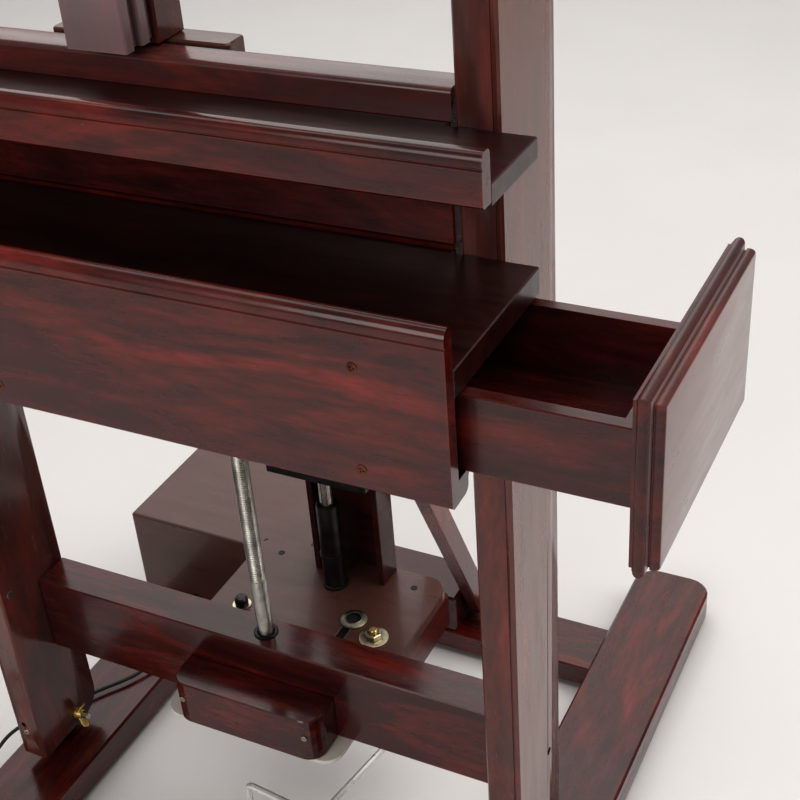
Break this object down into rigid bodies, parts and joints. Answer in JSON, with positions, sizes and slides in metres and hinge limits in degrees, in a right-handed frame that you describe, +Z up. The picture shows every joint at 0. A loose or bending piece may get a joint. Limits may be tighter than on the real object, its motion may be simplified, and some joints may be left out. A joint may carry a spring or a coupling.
{
  "type": "h frame studio easel",
  "caption": "Floor-standing wooden H frame easel with a tilting frame, screw-driven tray box with a side drawer, and a sliding central mast.",
  "frame": {"origin": "centre of the footprint of the whole easel without its cord, on the floor", "axes": "+Z up; the painter stands at -Y and the rear struts are at +Y; the drawer opens towards +X"},
  "size_m": [1.0603, 0.9066, 2.02],
  "materials": {
    "dark_walnut": "dark stained, rubbed gloss varnish",
    "pale_ply": "bare sealed ply",
    "zinc_steel": "zinc plated, lightly worn",
    "blackened_steel": "satin black",
    "brass": "dull polished",
    "black_rubber": "matt",
    "black_plastic": "satin"
  },
  "bodies": {
    "base": {"runner_left": "dark_walnut", "runner_right": "dark_walnut", "foot_strip_left": "black_rubber", "foot_strip_right": "black_rubber", "pivot_bracket_left": "blackened_steel", "pivot_bracket_right": "blackened_steel", "pivot_bolt_left": "zinc_steel", "pivot_bolt_right": "zinc_steel", "rear_rail": "dark_walnut", "brace_block": "dark_walnut", "brace_axle": "zinc_steel", "motor_box": "dark_walnut", "power_cord": "black_rubber", "cord_gland": "black_plastic", "cord_coil": "black_rubber", "cord_plug": "black_plastic"},
    "frame": {"upright_left": "dark_walnut", "upright_right": "dark_walnut", "platform_beam_left": "dark_walnut", "platform_beam_right": "dark_walnut", "lower_crossbar": "dark_walnut", "mid_crossbar": "dark_walnut", "top_crossbar": "dark_walnut", "screw_bushing": "zinc_steel", "gear_cover": "dark_walnut", "gear_plate": "pale_ply", "platform_board": "dark_walnut", "actuator_tube": "blackened_steel", "platform_rear_beam": "dark_walnut", "lift_channel": "dark_walnut", "platform_ferrule": "zinc_steel", "lever_bracket": "blackened_steel", "brace_yoke": "blackened_steel", "brace_pin": "zinc_steel"},
    "brace": {"brace_left": "dark_walnut", "brace_right": "dark_walnut"},
    "carriage": {"front_panel": "dark_walnut", "lower_shelf": "dark_walnut", "tray_board": "dark_walnut", "tray_lip": "dark_walnut", "tray_rail": "dark_walnut", "back_board": "dark_walnut", "rear_apron": "dark_walnut", "box_end": "dark_walnut", "drawer_cleat": "dark_walnut", "nut_block": "zinc_steel"},
    "drawer": {"drawer_box": "dark_walnut", "drawer_face": "dark_walnut"},
    "mast": {"mast_board": "dark_walnut", "mast_post": "dark_walnut", "mast_foot": "dark_walnut"},
    "lift": {"lift_head": "blackened_steel", "lift_slider": "dark_walnut", "actuator_rod": "zinc_steel"},
    "clamp": {"canvas_clamp": "dark_walnut"},
    "knob": {"clamp_knob": "black_plastic"},
    "screw": {"lead_screw": "zinc_steel"},
    "wing_left": {"wing_nut_left": "brass"},
    "wing_right": {"wing_nut_right": "brass"},
    "lever": {"foot_lever": "zinc_steel"}
  },
  "joints": [
    {"name": "frame_tilt", "type": "hinge", "parent": "base", "child": "frame", "pos_m": [-0.0738, -0.17375, 0.086], "axis": [1, 0, 0], "range_deg": [-7, 5]},
    {"name": "brace_swing", "type": "hinge", "parent": "base", "child": "brace", "pos_m": [-0.0738, 0.24125, 0.07], "axis": [1, 0, 0], "range_deg": [-8, 4.5]},
    {"name": "tray_lift", "type": "slide", "parent": "frame", "child": "carriage", "axis": [0, 0, 1], "range_m": [-0.38, 0]},
    {"name": "lead_screw_turn", "type": "hinge", "parent": "frame", "child": "screw", "pos_m": [-0.0738, -0.15475, 0.3], "axis": [0, 0, 1], "range_deg": [-40, 45700]},
    {"name": "drawer_slide", "type": "slide", "parent": "carriage", "child": "drawer", "axis": [1, 0, 0], "range_m": [-0.125, 0.12]},
    {"name": "mast_lift", "type": "slide", "parent": "frame", "child": "mast", "axis": [0, 0, 1], "range_m": [0, 0.28]},
    {"name": "actuator_lift", "type": "slide", "parent": "frame", "child": "lift", "axis": [0, 0, 1], "range_m": [-0.04, 0.07]},
    {"name": "clamp_slide", "type": "slide", "parent": "mast", "child": "clamp", "axis": [0, 0, 1], "range_m": [-0.45, 0.2]},
    {"name": "clamp_knob_turn", "type": "hinge", "parent": "clamp", "child": "knob", "pos_m": [-0.0738, -0.30375, 1.71], "axis": [0, 1, 0], "continuous": true},
    {"name": "wing_nut_left_turn", "type": "hinge", "parent": "base", "child": "wing_left", "pos_m": [-0.3813, -0.17375, 0.086], "axis": [1, 0, 0], "continuous": true},
    {"name": "wing_nut_right_turn", "type": "hinge", "parent": "base", "child": "wing_right", "pos_m": [0.2337, -0.17375, 0.086], "axis": [1, 0, 0], "continuous": true},
    {"name": "foot_lever_lift", "type": "hinge", "parent": "frame", "child": "lever", "pos_m": [0.0462, -0.04175, 0.1], "axis": [1, 0, 0], "range_deg": [-12, 0]}
  ],
  "couplings": [
    {"joint": "actuator_lift", "follows": "frame_tilt", "m_per_rad": -0.364},
    {"joint": "brace_swing", "follows": "frame_tilt", "ratio": 0.735},
    {"joint": "lead_screw_turn", "follows": "tray_lift", "rad_per_m": -2094.4}
  ]
}
